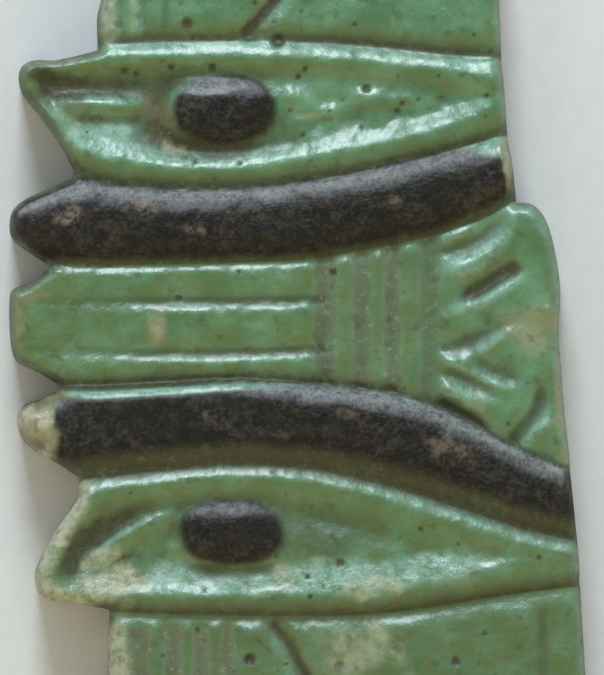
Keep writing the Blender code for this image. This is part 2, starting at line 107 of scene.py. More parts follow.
def through(points, step=0.2):
    """A smooth curve through the points of the drawing."""
    points = np.array(points, float)
    padded = np.vstack([points[:1], points, points[-1:]])
    path = [points[:1]]
    for p0, p1, p2, p3 in zip(padded, padded[1:], padded[2:], padded[3:]):
        count = max(1, round(float(np.hypot(*(p2 - p1))) / step))
        t = (np.arange(1, count + 1) / count)[:, None]
        path.append(0.5 * (2 * p1 + (p2 - p0) * t + (2 * p0 - 5 * p1 + 4 * p2 - p3) * t * t
                           + (3 * p1 - p0 - 3 * p2 + p3) * t ** 3))
    return np.vstack(path)


def nearest_on(path, x, y):
    """How far each point is from a path, the nearest place on it, and its share of the way."""
    lengths = np.hypot(*(path[1:] - path[:-1]).T)
    total = lengths.sum()
    best = np.full(x.shape, 1e9)
    at_x, at_y, share = (np.zeros(x.shape) for _ in range(3))
    run = 0.0
    for a, b, length in zip(path, path[1:], lengths):
        if length < 1e-9:
            continue
        along = (b - a) / length
        t = np.clip((x - a[0]) * along[0] + (y - a[1]) * along[1], 0, length)
        px, py = a[0] + along[0] * t, a[1] + along[1] * t
        away = np.hypot(x - px, y - py)
        closer = away < best
        best = np.where(closer, away, best)
        at_x, at_y = np.where(closer, px, at_x), np.where(closer, py, at_y)
        share = np.where(closer, (run + t) / total, share)
        run += length
    return best, at_x, at_y, share


def depth_inside(loop, x, y):
    """How far each point is inside a closed loop; below 0 outside it. Also the nearest place."""
    closed = np.vstack([loop, loop[:1]])
    away, at_x, at_y, _ = nearest_on(closed, x, y)
    inside = np.zeros(x.shape, bool)
    for a, b in zip(closed, closed[1:]):
        if a[1] != b[1]:
            crossing = a[0] + (y - a[1]) / (b[1] - a[1]) * (b[0] - a[0])
            inside ^= ((a[1] > y) != (b[1] > y)) & (x < crossing)
    return np.where(inside, away, -away), at_x, at_y


outline = np.vstack([through(part) for part in (
    CHEEK_RIM_A, EYE_END_A, BROW_END_A, COLUMN_END, BROW_END_B, EYE_END_B, CHEEK_RIM_B,
    EYE_SIDE_B, BROW_SIDE_B, UMBEL_SIDE, BROW_SIDE_A, EYE_SIDE_A)])

# The face is worked on a net of points, whose rows follow the sunk joint lines between the
# bands, from the upper cheek to the lower one. It is coarser at the cheeks' plain ends.
FINE_STEP = 0.12
PLAIN_ABOVE, PLAIN_BELOW, FAR_END = 16.9, -17.6, 23.05
ROWS = (31, 23, 53, 37, 84, 39, 60, 27, 27)
columns = np.arange(-14.7, 14.7, FINE_STEP)


def level_of(points, x):
    """The height in the drawing of a joint line at x, level beyond the line's ends."""
    path = through(points, 0.1)
    order = np.argsort(path[:, 0])
    return np.interp(x, path[order, 0], path[order, 1])


levels = ([np.full(columns.shape, FAR_END), np.full(columns.shape, PLAIN_ABOVE)]
          + [level_of(points, columns) for points in JOINTS.values()]
          + [np.full(columns.shape, PLAIN_BELOW), np.full(columns.shape, -FAR_END)])
net = [levels[0][None]]
for high, low, count in zip(levels, levels[1:], ROWS):
    net.append(high + (low - high) * (np.arange(1, count + 1) / count)[:, None])
Y = np.vstack(net)[::-1].copy()
X = np.broadcast_to(columns, Y.shape).copy()
inward, _, _ = depth_inside(outline, X, Y)
kept = inward - DRAFT > 0.3 * FINE_STEP


def corners_of(kept):
    """The kept corners of each cell of the net, and how many it has."""
    four = np.stack([kept[:-1, :-1], kept[:-1, 1:], kept[1:, 1:], kept[1:, :-1]])
    return four, four.sum(0)


for _ in range(4):
    four, count = corners_of(kept)
    used = np.zeros(kept.shape, int)
    full = count >= 3
    for k, (r, c) in enumerate(((0, 0), (0, 1), (1, 1), (1, 0))):
        used[r:r + full.shape[0], c:c + full.shape[1]] += full & four[k]
    kept &= used >= 2
four, count = corners_of(kept)
number = np.arange(X.size).reshape(X.shape)
ring_numbers = np.stack([number[:-1, :-1], number[:-1, 1:], number[1:, 1:], number[1:, :-1]])
quads = ring_numbers[:, count == 4].T
threes = ring_numbers[:, count == 3].T[four[:, count == 3].T].reshape(-1, 3)
face_corners = [tuple(q) for q in quads.tolist()] + [tuple(t) for t in threes.tolist()]

sides = {}
for corners in face_corners:
    for a, b in zip(corners, corners[1:] + corners[:1]):
        if sides.pop((b, a), None) is None:
            sides[a, b] = True
next_round = {a: b for a, b in sides}
start = next(iter(next_round))
edge_loop = [start]
while next_round[edge_loop[-1]] != start:
    edge_loop.append(next_round[edge_loop[-1]])

edge_loop = np.array(edge_loop)
flat_x, flat_y = X.ravel().copy(), Y.ravel().copy()
away, at_x, at_y = depth_inside(outline, flat_x[edge_loop], flat_y[edge_loop])
pull_x, pull_y = flat_x[edge_loop] - at_x, flat_y[edge_loop] - at_y
pull = np.hypot(pull_x, pull_y)
flat_x[edge_loop] = at_x + pull_x / pull * DRAFT
flat_y[edge_loop] = at_y + pull_y / pull * DRAFT
X, Y = flat_x.reshape(X.shape), flat_y.reshape(Y.shape)
rim = np.maximum(depth_inside(outline, X, Y)[0] - DRAFT, 0)


def above_joint(name):
    """How far each point of the face is above a joint line, across the line."""
    level = level_of(JOINTS[name], X)
    slope = (level_of(JOINTS[name], X + 0.1) - level_of(JOINTS[name], X - 0.1)) / 0.2
    return (Y - level) / np.hypot(1, slope)


cheek_eye_a, eye_brow_a, brow_column_a, brow_column_b, eye_brow_b, cheek_eye_b = (
    above_joint(name) for name in JOINTS)
Z = np.zeros(X.shape)

# How far each point is painted black, bare of glaze, stained tan, turquoise (a pool of glaze,
# and painted highlight), dark (grime, and painted shade), olive (thin glaze, and painted
# shade), ashen with dust, and rubbed through to the paste.
paint, bare, stain, pool_and_highlight, grime_and_shade, olive_and_shade, ash, worn = (np.zeros(X.shape) for _ in range(8))


# The cheeks. Each eye has a cheek behind its lower lid, with the falcon's feather marks
# in front and the tail of the curl beside them. They are sunk lines, pressed with the rest;
# the upper cheek's feathers are nearly worn away.

CHEEK_TOP = 5.25
FEATHERS_A = (-8.95, -7.75, -6.6)
FEATHERS_B = ((-7.85, 0.68), (-6.25, 0.62), (-4.85, 0.56), (-3.5, 0.45))
CURL_A = [(-2.9, 14.5), (-1.8, 15.65), (-0.85, 16.8), (0.6, 18.75), (2.6, 20.6)]
CURL_B = [(-1.5, -14.4), (-0.5, -15.5), (0.4, -17.15), (2.0, -19.3), (4.4, -20.95)]
COIL_A, COIL_B = (5.3, 19.4), (7.3, -19.3)
COIL_RADII = (2.1, 0.75)
TAIL_B = [(12.2, -13.3), (12.2, -20.5)]


def ease(value, low, high):
    """0 below low, 1 above high, and a soft turn between them."""
    t = np.clip((value - low) / (high - low), 0, 1)
    return t * t * (3 - 2 * t)


def cloud(x, y, size, seed):
    """Soft unevenness from 0 to 1, about as wide as size."""
    table = np.random.default_rng(seed).random((96, 96))
    u, v = x / size + 500.5, y / size + 500.5
    i, j = np.floor(u).astype(int), np.floor(v).astype(int)
    s, t = u - i, v - j
    s, t = s * s * (3 - 2 * s), t * t * (3 - 2 * t)
    low = table[i % 96, j % 96] * (1 - s) + table[(i + 1) % 96, j % 96] * s
    high = table[i % 96, (j + 1) % 96] * (1 - s) + table[(i + 1) % 96, (j + 1) % 96] * s
    return low * (1 - t) + high * t


def fringe(size, seed):
    """Ragged unevenness from -1 to 1, in three finenesses."""
    return (cloud(X, Y, size, seed) + 0.5 * cloud(X, Y, size / 2.1, seed + 1)
            + 0.25 * cloud(X, Y, size / 4.3, seed + 2)) / 0.875 - 1.0


def fall(distance, width, drop, bevel=0.0):
    """How far an edge has fallen at a distance in from it: rounded, or bevelled by a share."""
    t = np.clip(1 - distance / width, 0, 1)
    return drop * (bevel * t + (1 - bevel) * t * t)


def lay(wash, amount):
    """Lays one of the glaze's tones on the face, wherever there is less of it already."""
    np.maximum(wash, amount, out=wash)


def sunk(points, half, depth, ends=0.08, wander=0.3, seed=41, upper=1.0, flat=1.0):
    """The depth of a soft sunk line over the face, and a mask of its bed. It fades at its ends;
    its upper side can be wider than its lower one, and its bed flat."""
    path = through(points, 0.15)
    low, high = path.min(0) - 1.2, path.max(0) + 1.2
    near = (X > low[0]) & (X < high[0]) & (Y > low[1]) & (Y < high[1])
    away, _, at_y, share = nearest_on(path, X[near], Y[near])
    first, last = ends if isinstance(ends, tuple) else (ends, ends)
    fade = ease(share, -1e-6, first) * ease(1 - share, -1e-6, last)
    reach = half * (1 + wander * (cloud(X[near], Y[near], 0.9, seed) - 0.5))
    reach = reach * (0.35 + 0.65 * fade)
    reach = reach * (1 + (upper - 1) * (Y[near] > at_y))
    across = np.clip(1 - away / reach, 0, 1)
    cut, bed = np.zeros(X.shape), np.zeros(X.shape)
    cut[near] = depth * fade * (ease(across, 0, flat) if flat < 1
                                else 0.55 * ease(across, 0, 1) + 0.45 * across)
    bed[near] = fade * ease(across, 0.1, 0.75 * flat)
    return cut, bed


def coil(centre, first, turn):
    """The points of a curl's coil, from its outside inwards, by angles in degrees."""
    share = np.linspace(0, 1, 15)
    angle = np.radians(first + turn * share)
    radius = COIL_RADII[0] + (COIL_RADII[1] - COIL_RADII[0]) * share
    return [(centre[0] + r * np.cos(a), centre[1] + r * np.sin(a)) for r, a in zip(radius, angle)]


cheek_a, cheek_b = cheek_eye_a > 0, cheek_eye_b <= 0
Z = np.where(cheek_a, CHEEK_TOP - fall(cheek_eye_a, 1.0, 0.5), Z)
Z = np.where(cheek_b, CHEEK_TOP - fall(-cheek_eye_b, 0.6, 0.32, 0.6), Z)
lay(olive_and_shade, 1.0 * cheek_b)
ragged = 0.15 * fringe(0.9, 43)
# Painted shade along the cheek's joint with the upper lid, in dirt colour and olive.
lay(grime_and_shade, cheek_a * (1 - ease(cheek_eye_a + ragged, 0.0, 1.1)) * (0.6 + 0.2 * ease(X, -2, 6)))
lay(olive_and_shade, cheek_a * (1 - ease(cheek_eye_a + ragged, 0.6, 1.6)))
lay(grime_and_shade, 0.15 * cheek_b)
for x in FEATHERS_A:
    cut, bed = sunk([(x, 14.6), (x + 0.05, 21.5)], 0.34, 0.12)
    Z -= np.where(cheek_a, cut, 0)
    lay(grime_and_shade, 0.3 * bed * cheek_a)
for x, half in FEATHERS_B:
    cut, bed = sunk([(x, -14.7), (x + 0.04, -21.7)], half, 0.24, ends=0.03, flat=0.6)
    Z -= np.where(cheek_b, cut, 0)
    lay(ash, (0.85 + 0.35 * fringe(0.9, 82)) * bed * cheek_b)
    lay(grime_and_shade, (0.12 + 0.3 * fringe(1.2, 86)) * bed * cheek_b)
    lay(stain, 0.55 * bed * cheek_b)
for at, points, dirt in ((cheek_a, CURL_A + coil(COIL_A, 110, -420), 0.8),
                         (cheek_b, CURL_B + coil(COIL_B, -110, 420), 0.6)):
    cut, _ = sunk(points, 0.68, 0.42, ends=0.02, upper=0.8, flat=0.9)
    Z -= np.where(at, cut, 0)
    _, bed = sunk(points, 0.42, 1.0, ends=0.02)
    lay(grime_and_shade, dirt * bed * at)
    lay(stain, 0.7 * bed * at)
cut, bed = sunk(TAIL_B, 0.5, 0.13)
Z -= np.where(cheek_b, cut, 0)
lay(grime_and_shade, 0.4 * bed * cheek_b)


# The eyes. Raised lids run round a sunk pocket with the eyeball, the black button of its
# pupil, and the ledge of the inner corner, which points left. The glaze is thick and
# turquoise on the slopes at the inner corner and brown where it is thin. The pockets, the
# creases by the lids and the slopes facing away from the window are darkened with painted
# shade, and a painted highlight lies on the top of the upper pupil.

LID_TOP = 5.58
BALL_FOOT, BALL_EDGE, BALL_RISE = 4.3, 4.7, 0.5
LEDGE_FOOT, LEDGE_RISE = 4.55, 0.76
PUPIL_FOOT, PUPIL_STEP, PUPIL_DOME = 4.6, 0.5, 0.62
POCKET_A = [(-13.1, 12.1), (-12.4, 11.0), (-11.6, 9.9), (-10.6, 9.05), (-8.9, 8.6), (-7.4, 8.4),
            (-4.9, 8.2), (-2.4, 8.3), (0.1, 8.65), (2.6, 9.15), (5.1, 9.65), (7.6, 10.4),
            (9.1, 11.05), (9.65, 11.6), (9.1, 12.0), (7.6, 12.35), (5.1, 12.7), (2.6, 12.95),
            (-1.9, 13.1), (-7.4, 13.05), (-11.4, 12.95), (-12.9, 12.75), (-13.1, 12.1)]
POCKET_B = [(-11.95, -12.4), (-11.2, -12.95), (-8.9, -13.05), (-4.9, -13.05), (0.1, -13.0),
            (5.1, -12.6), (8.1, -12.05), (10.1, -11.6), (10.9, -11.25), (10.1, -10.85),
            (7.6, -10.0), (5.1, -9.15), (2.6, -8.4), (0.1, -7.85), (-2.4, -7.65), (-4.9, -7.8),
            (-7.4, -8.05), (-9.0, -8.3), (-10.2, -8.95), (-11.1, -10.0), (-11.85, -11.3),
            (-11.95, -12.4)]


def almond(left, right, up, down):
    """The loop of an eyeball between its two corners."""
    share = np.linspace(0, 1, 40)
    rise = np.clip(np.sin(np.pi * share ** 0.72), 0, 1) ** 0.8
    x = left[0] + (right[0] - left[0]) * share
    y = left[1] + (right[1] - left[1]) * share
    upper = np.stack([x, y + up * rise], 1)
    lower = np.stack([x, y - down * rise], 1)
    return np.vstack([upper, lower[-2:0:-1]])


def patch(x, y, wide, tall, turn=0.0, ragged=0.35, seed=0):
    """An uneven patch of the face, from 1 in its middle to 0 outside."""
    c, s = np.cos(np.radians(turn)), np.sin(np.radians(turn))
    u = ((X - x) * c + (Y - y) * s) / (wide / 2)
    v = (-(X - x) * s + (Y - y) * c) / (tall / 2)
    uneven = cloud(X, Y, 0.3 * min(wide, tall) + 0.25, 300 + seed) - 0.5
    return 1 - ease(np.hypot(u, v) + 1.4 * ragged * uneven, 0.4, 1.2)


def soft_max(a, b, blend=0.12):
    """The higher of two faces, with a small fillet where they meet."""
    d = np.clip(0.5 + 0.5 * (a - b) / blend, 0, 1)
    return b * (1 - d) + a * d + blend * d * (1 - d)


def button(centre, halves, turn, power=2.3):
    """0 in the middle of a rounded form, 1 on its outline."""
    c, s = np.cos(np.radians(turn)), np.sin(np.radians(turn))
    u, v = X - centre[0], Y - centre[1]
    return (np.abs((u * c + v * s) / halves[0]) ** power
            + np.abs((v * c - u * s) / halves[1]) ** power)


def eye(at, lid, pocket, slope, floor, ball, ledge, pupil, painted):
    """Works an eye into the face: its lid, the slope of the pocket down to the floor, the ball,
    the ledge along its line, and the pupil. Gives the face, the pupil's paint, how far the sunk
    parts and the crease at the ledge's foot are darkened with painted shade, and how far each
    point is inside the pocket."""
    inside, _, _ = depth_inside(through(pocket)[:-1], X, Y)
    first, last, shelf = slope
    even = np.clip((inside - first) / (last - first), 0, 1)
    side = ((1 - shelf) * (0.5 * even + 0.5 * ease(inside, first, last))
            + shelf * (0.6 * ease(inside, first, first + 0.7)
                       + 0.4 * ease(inside, first + 0.5, last)))
    face = lid + (floor - lid) * side
    depth, _, _ = depth_inside(ball, X, Y)
    dome = 1 - np.clip(1 - depth / 1.2, 0, 1) ** 2
    ball_top = np.where(depth > 0, BALL_EDGE + BALL_RISE * dome, BALL_FOOT)
    face = np.where(inside > 0, soft_max(face, ball_top), face)
    away, _, at_y, share = nearest_on(through(ledge, 0.2), X, Y)
    steep = np.clip(1 - (away / 0.45) ** 2, 0, 1)
    gentle = 1 - 0.32 * ease(away, 0.1, 1.0)
    reach = np.where(Y > at_y, steep, gentle) * ease(share, -0.15, 0.3)
    until = 1 - ease(X + 0.8 * fringe(1.2, 67), ledge[-1][0] - 1.6, ledge[-1][0] + 1.0)
    reach *= until
    # Painted shade in the crease at the foot of the ledge's upper side.
    foot = ((Y > at_y) * ease(away, 0.1, 0.3) * (1 - ease(away, 0.7, 1.4)) * until
            * ease(inside, 0, 0.4))
    face = np.where(inside > 0, soft_max(face, LEDGE_FOOT + LEDGE_RISE * reach, 0.2), face)
    q = button(*pupil)
    raised = PUPIL_FOOT + PUPIL_STEP * ease(1 - q, -0.1, 0.35) + PUPIL_DOME * np.clip(1 - q, 0, 1)
    face = np.where((q < 1.1) & (inside > -0.3), soft_max(face, raised, 0.2), face)
    black = 1 - ease(button(*painted) + 0.15 * fringe(0.9, 61), 0.55, 1.45)
    shade = ease(inside, 0.1, 1.0) * (1 - ease(depth, -0.5, 0.3)) * (1 - ease(reach, 0.1, 0.7))
    return np.where(at, face, Z), at * black, at * np.maximum(shade, foot), inside


eye_a = (cheek_eye_a <= 0) & (eye_brow_a > 0)
eye_b = (eye_brow_b <= 0) & (cheek_eye_b > 0)
corner_a = ease(-X, 6.0, 8.5) * ease(11.6 - Y, 0.2, 1.4)
upper_a = ease(Y - (11.1 + 0.06 * X), -0.4, 0.8)
upper_b = ease(Y + (10.6 - 0.08 * X), -0.4, 0.8)
lid_a = (LID_TOP - fall(-cheek_eye_a, 0.9, 0.43, 0.85 - 0.5 * ease(X, 0, 6))
         - fall(eye_brow_a, 1.4, 0.6))
lid_b = LID_TOP - 0.03 - fall(-eye_brow_b, 0.75, 0.43, 0.15) - fall(cheek_eye_b, 1.1, 0.55)
Z, black_a, sunk_shade_a, inside_a = eye(
    eye_a, lid_a, POCKET_A,
    (-0.2 - 0.35 * upper_a, 0.75 - 0.2 * upper_a + 0.75 * corner_a, 0),
    4.74 + 0.36 * ease(X, -7.5, 3.0),
    almond((-7.0, 10.9), (8.9, 11.6), 1.5, 1.6),
    [(-12.9, 11.2), (-11.5, 11.35), (-9.5, 11.35), (-7.5, 11.2)],
    ((-3.95, 10.85), (2.85, 1.72), 0, 2.8), ((-3.6, 11.0), (2.6, 1.72), 0))
Z, black_b, sunk_shade_b, _ = eye(
    eye_b, lid_b, POCKET_B,
    (-0.3 - 0.05 * upper_b, 1.9 - 0.7 * upper_b, 0.25),
    4.88 + 0.2 * ease(X, -7.5, 3.0),
    almond((-7.2, -11.3), (9.1, -11.4), 2.4, 1.1),
    [(-11.3, -12.25), (-9.4, -10.7), (-8.0, -9.8), (-6.2, -9.1)],
    ((-3.3, -10.25), (2.75, 1.75), 0, 2.8), ((-3.3, -10.05), (2.6, 1.62), -1))
cut, bed = sunk([(-11.3, 10.5), (-9.4, 10.45), (-7.3, 10.4)], 0.4, 0.14, ends=0.15)
Z -= np.where(eye_a, cut, 0)
lay(grime_and_shade, 0.45 * eye_a * bed)
lay(stain, 0.8 * eye_a * patch(-7.0, 10.8, 1.5, 3.6, 12, 0.5, seed=70))
# Painted highlight: a grey sheen over the top of the upper pupil's black paint.
lay(pool_and_highlight, 0.9 * eye_a * patch(-4.5, 12.15, 3.4, 0.9, 2, 0.4, seed=71))
paint = np.maximum(black_a, black_b)
Z += eye_a * ease(X, -1.2, 0.5) * ease(inside_a, 0.6, 1.2) * (0.4 * fringe(0.7, 63))
lay(olive_and_shade, 0.85 * eye_b)
lay(olive_and_shade, eye_a * patch(-12.6, 12.6, 5.0, 2.6, 0, 0.3, seed=62))
# Painted shade: olive on the upper eye's left rim.
lay(olive_and_shade, eye_a * ease(-rim, -0.7, -0.2) * (X < 0))
lay(ash, 0.8 * patch(-11.2, 11.4, 1.0, 2.6, 25, 0.5, seed=64))
lay(ash, 0.9 * patch(-6.4, 9.6, 1.6, 1.2, -40, 0.5, seed=65))
# Painted shade in dirt colour: in the pockets, at the foot of the ledge, and along the lids'
# joints.
lay(grime_and_shade, 0.85 * sunk_shade_a * (0.7 + 0.3 * ease(-X, 9.0, 11.5)) * (1 - 0.5 * ease(X, -3.0, 0)))
lay(bare, 0.9 * eye_b * (1 - ease(rim + 0.2 * fringe(0.8, 66), 0.45, 1.0)) * ease(-X, 9.8, 10.8))
lay(grime_and_shade, eye_a * (1 - ease(eye_brow_a + ragged, 0.0, 1.2)) * 0.7)
lay(grime_and_shade, eye_b * (1 - ease(cheek_eye_b + ragged, 0.0, 1.2)) * 0.7)
# Painted shade beside and below the lower eye's raised pupil.
lay(grime_and_shade, eye_b * (0.4 * patch(1.5, -10.1, 8.0, 3.0, -6, 0.4, seed=68)
                    + 0.5 * patch(-3.3, -12.0, 4.8, 1.2, 0, 0.4, seed=69)))
# Painted shade along the lower eye's joint with its brow, and in its pocket.
lay(grime_and_shade, eye_b * (1 - ease(-eye_brow_b + ragged, 0.0, 0.45)) * 0.6)
lay(grime_and_shade, 0.8 * sunk_shade_b * (0.35 + 0.65 * ease(-X, 6.5, 9.5)))
# Dark patches in the eyes' sockets and corners: brown dirt, and painted shade in the deep parts.
for x, y, wide, tall, turn, share in (
        (-6.2, 9.2, 1.8, 0.9, -35, 0.8), (-7.0, 11.0, 1.6, 3.4, 8, 0.4),
        (-9.6, 12.1, 6.4, 1.1, 0, 0.6), (-11.7, 12.0, 4.4, 1.5, 0, 0.9),
        (-12.6, 12.6, 2.2, 1.2, -30, 0.8), (-10.9, -10.9, 5.2, 1.4, 55, 1.0),
        (-9.2, -9.6, 3.0, 1.0, 35, 0.7), (-8.6, -11.3, 1.6, 0.5, 10, 0.6),
        (-3.6, 8.9, 4.2, 0.9, 0, 0.6)):
    lay(grime_and_shade, share * patch(x, y, wide, tall, turn, 0.5, seed=int(9 * -x) % 89))


# The brows. Two thick rounded bars, painted black before the glazing, which run back to
# back above and below the column. The paint has worn off a few spots, stops short of the
# lower brow's left end and thins to brown down its lower slopes, where painted shade darkens
# it further.

BROW_TOP = 5.92

brow_a = (eye_brow_a <= 0) & (brow_column_a > 0)
brow_b = (brow_column_b <= 0) & (eye_brow_b > 0)
nose = fall(np.where(X < 0, rim, 9.0), 1.5, 0.75)
Z = np.where(brow_a, BROW_TOP - fall(-eye_brow_a, 1.2, 0.56, 0.6) - fall(-eye_brow_a, 0.35, 0.25)
             - fall(brow_column_a, 1.7, 0.9) - nose, Z)
narrow = 1 - ease(X, -5.0, -1.0)
Z = np.where(brow_b, BROW_TOP - fall(-brow_column_b, 0.95 - 0.2 * narrow, 0.5 - 0.1 * narrow, 0.9)
             - fall(-brow_column_b, 0.25, 0.12) * (1 - narrow)
             - fall(eye_brow_b, 1.9, 0.9) - nose, Z)

brush = 0.14 * fringe(0.55, 71)
end_a = ease(X, 7.6, 10.4)
low_a = ease(X, 4.5, 9.5)
paint_a = (ease(-eye_brow_a + brush, -0.4 + 0.8 * end_a, 0.2 + 1.1 * end_a)
           * ease(brow_column_a + brush, -0.1 + 0.1 * low_a, 0.8 + 0.2 * low_a)
           * ease(np.where(X < 0, rim, rim - 0.3) + brush, -0.1, 0.35))
top_b = 1 - ease(X, -6.0, 1.5)
paint_b = (ease(-brow_column_b + brush, -0.45 + 0.85 * top_b, 0.3 + 0.5 * top_b)
           * ease(eye_brow_b + brush, 0.2, 1.8) * ease(X + 2.5 * brush, -12.4, -11.6))
lay(paint, paint_a)
lay(paint, paint_b)
lay(bare, brow_b * (1 - ease(X + 1.5 * brush, -12.6, -11.6))
    * (0.2 + 0.7 * ease(cloud(X, Y, 0.5, 73), 0.35, 0.7)))
lay(stain, brow_b * (1 - ease(X, -12.2, -11.0)))
lay(grime_and_shade, 0.7 * brow_b * (1 - ease(X, -12.3, -11.8)) * ease(cloud(X, Y, 0.4, 74), 0.5, 0.8))
# Painted shade in the crease along the joint and under the lit edge of the lower brow's left part.
lay(grime_and_shade, 0.9 * top_b * brow_b * ease(X, -12.4, -11.6)
    * np.maximum(ease(-brow_column_b, 0.4, 0.55), 1 - ease(-brow_column_b, 0.08, 0.25)))
# Painted shade on the brows' left rims and down their lower slopes, which face away from the
# window.
lay(olive_and_shade, (brow_a | brow_b) * ease(-rim, -0.6, -0.1) * (X < 0))
lay(grime_and_shade, brow_b * (1 - ease(eye_brow_b, 1.2, 2.6)))
lay(grime_and_shade, brow_a * (1 - ease(brow_column_a, 0.3, 1.6)) * 0.8)
lay(stain, brow_b * patch(-10.6, -6.6, 3.4, 1.0, -14, 0.5, seed=3) * 0.8)
lay(stain, brow_a * patch(10.5, 8.1, 1.0, 3.4, 6, 0.4, seed=5) * 0.9)
for x, y, wide, tall, turn, share in (
        (-11.4, 5.65, 2.1, 0.9, 18, 0.9), (-7.6, 6.1, 1.3, 0.8, -30, 0.7),
        (-5.3, 4.9, 1.1, 0.55, 0, 0.8), (4.6, 6.4, 0.9, 0.4, 10, 0.5),
        (7.6, -5.9, 2.6, 1.0, -25, 0.6), (2.6, -4.2, 2.0, 0.8, -10, 0.5),
        (-1.0, -5.2, 1.6, 0.5, 0, 0.4), (-4.5, -4.4, 1.8, 0.6, 20, 0.4)):
    spot = patch(x, y, wide, tall, turn, 0.8, seed=int(10 * x) % 97)
    lay(worn, share * spot)


# The papyrus column. It lies between the brows: three reeds bound by a tie of three bands,
# and the open umbel, whose sepals fan out to the right over a smooth bell. Pale grains of
# the paste's own efflorescence have stayed in the grooves of the tie.

COLUMN_TOP = 5.3
UMBEL_TOP = 5.42
REED_GROOVES = ([(-14.6, 1.35), (-12.3, 1.4), (-8.0, 1.4), (-3.0, 1.42), (1.35, 1.5)],
                [(-14.6, -1.0), (-12.3, -1.05), (-8.0, -1.15), (-3.0, -1.15), (1.35, -0.95)])
TIE_GROOVES = ((1.36, 0.7, 0.28), (3.14, 0.64, 0.3), (4.68, 0.56, 0.26), (6.58, 0.74, 0.26))
SEPAL_GROOVES = (
    ([(6.9, 3.7), (8.6, 4.3), (9.95, 5.1), (10.7, 6.2)], 0.8, 0.34, 1.0, (0.1, 0.3), 0.35),
    ([(7.6, 1.3), (8.6, 1.76), (9.4, 2.2), (10.4, 2.85), (11.5, 3.3)], 0.52, 0.4, 1.7, (0.3, 0.2),
     0.9),
    ([(8.6, 0.95), (10.1, 0.35)], 0.45, 0.15, 1.0, (0.3, 0.4), 0.3),
    ([(6.9, -1.1), (8.6, -0.6), (9.94, 0.0), (10.9, 0.6)], 0.62, 0.34, 1.6, (0.1, 0.5), 0.45),
    ([(8.5, -1.3), (9.5, -2.0), (10.4, -2.4), (11.6, -2.8)], 0.55, 0.3, 1.6, (0.2, 0.4), 0.4),
    ([(7.0, -2.1), (8.25, -2.4), (9.15, -2.84), (10.6, -3.5)], 0.52, 0.34, 1.3, (0.1, 0.5), 0.4),
    ([(6.9, -3.5), (7.9, -4.2), (8.93, -4.75), (9.9, -5.1)], 0.7, 0.42, 1.2, (0.1, 0.4), 0.8),
    ([(12.15, -1.9), (12.1, -3.3), (11.6, -4.4), (10.4, -5.7)], 0.65, 0.38, 1.0, (0.35, 0.1),
     0.5),
)
SEPAL_EDGES = (
    ([(7.0, 4.4), (7.9, 4.85), (8.8, 5.3)], 0.5, 0.2),
    ([(7.0, 3.0), (8.2, 3.15), (9.05, 3.55), (10.1, 4.75), (10.8, 5.7), (11.2, 6.3)], 0.8, 0.22),
    ([(8.4, 1.1), (9.15, 1.3), (10.4, 2.1), (11.5, 2.8)], 0.45, 0.17),
    ([(7.0, 0.8), (8.6, 1.15)], 0.4, 0.1),
    ([(8.5, -1.15), (9.04, -0.93), (10.16, -0.26), (11.9, 0.15)], 0.45, 0.17),
    ([(7.0, -1.5), (7.47, -1.6), (8.6, -2.17), (9.7, -2.73), (11.4, -2.95)], 0.42, 0.17),
    ([(6.85, -2.84), (7.47, -3.07), (8.6, -3.63), (9.5, -4.1)], 0.5, 0.18),
    ([(11.0, -5.95), (11.95, -5.0), (12.9, -4.3)], 0.5, 0.2),
)

column = (brow_column_a <= 0) & (brow_column_b > 0)
top = COLUMN_TOP + (UMBEL_TOP - COLUMN_TOP) * ease(X, 6.0, 7.5)
Z = np.where(column, top - fall(-brow_column_a, 0.38, 0.18, 0.25)
             - fall(brow_column_b, 1.1, 0.4), Z)
lay(olive_and_shade, column * (0.55 - 0.4 * ease(X, 5.5, 8.0)))
# Painted shade along the column's lower joint with the brow, darkest in the crease.
lay(grime_and_shade, column * (1 - ease(brow_column_b + ragged, 0.1, 0.9)) * 0.6 * (X < 5))
lay(grime_and_shade, column * (1 - ease(brow_column_b, 0.1, 0.4)))
deeper = ease(X, -12.5, -5.0)
for points in REED_GROOVES:
    cut, _ = sunk(points, 0.46, 1.0, ends=0.0, upper=2.4)
    Z -= np.where(column, cut * (0.06 + 0.17 * deeper) * ease(X, -13.9, -12.4)
                  * (1 - ease(X, 1.1, 1.5)), 0)
    _, bed = sunk(points, 0.42, 1.0, ends=0.0)
    lay(grime_and_shade, (0.15 + 0.45 * deeper) * bed * column * (X < 1.35))
for x, half, depth in TIE_GROOVES:
    cut, bed = sunk([(x, 4.6), (x + 0.03, 1.0), (x, -4.3)], half, depth, ends=0.0, wander=0.4,
                    flat=0.6)
    Z -= np.where(column, cut, 0)
    dusty = bed * column * (1 - 0.5 * ease(X, 5.2, 6.0))
    lay(ash, (0.85 + 0.35 * fringe(0.9, 81)) * dusty)
    lay(grime_and_shade, (0.16 + 0.3 * fringe(1.2, 84)) * dusty)
for points, half, depth, upper, ends, dirt in SEPAL_GROOVES:
    cut, _ = sunk(points, half, depth, ends=ends, upper=upper)
    Z -= np.where(column, cut, 0)
    _, bed = sunk(points, 0.6, 1.0, ends=ends)
    lay(grime_and_shade, dirt * bed * column)
for points, half, lift in SEPAL_EDGES:
    rise, bed = sunk(points, half, lift, ends=(0.15, 0.35))
    Z += np.where(column, rise, 0)
    # Painted highlight along the raised edge, in turquoise.
    lay(pool_and_highlight, 0.5 * bed * column)
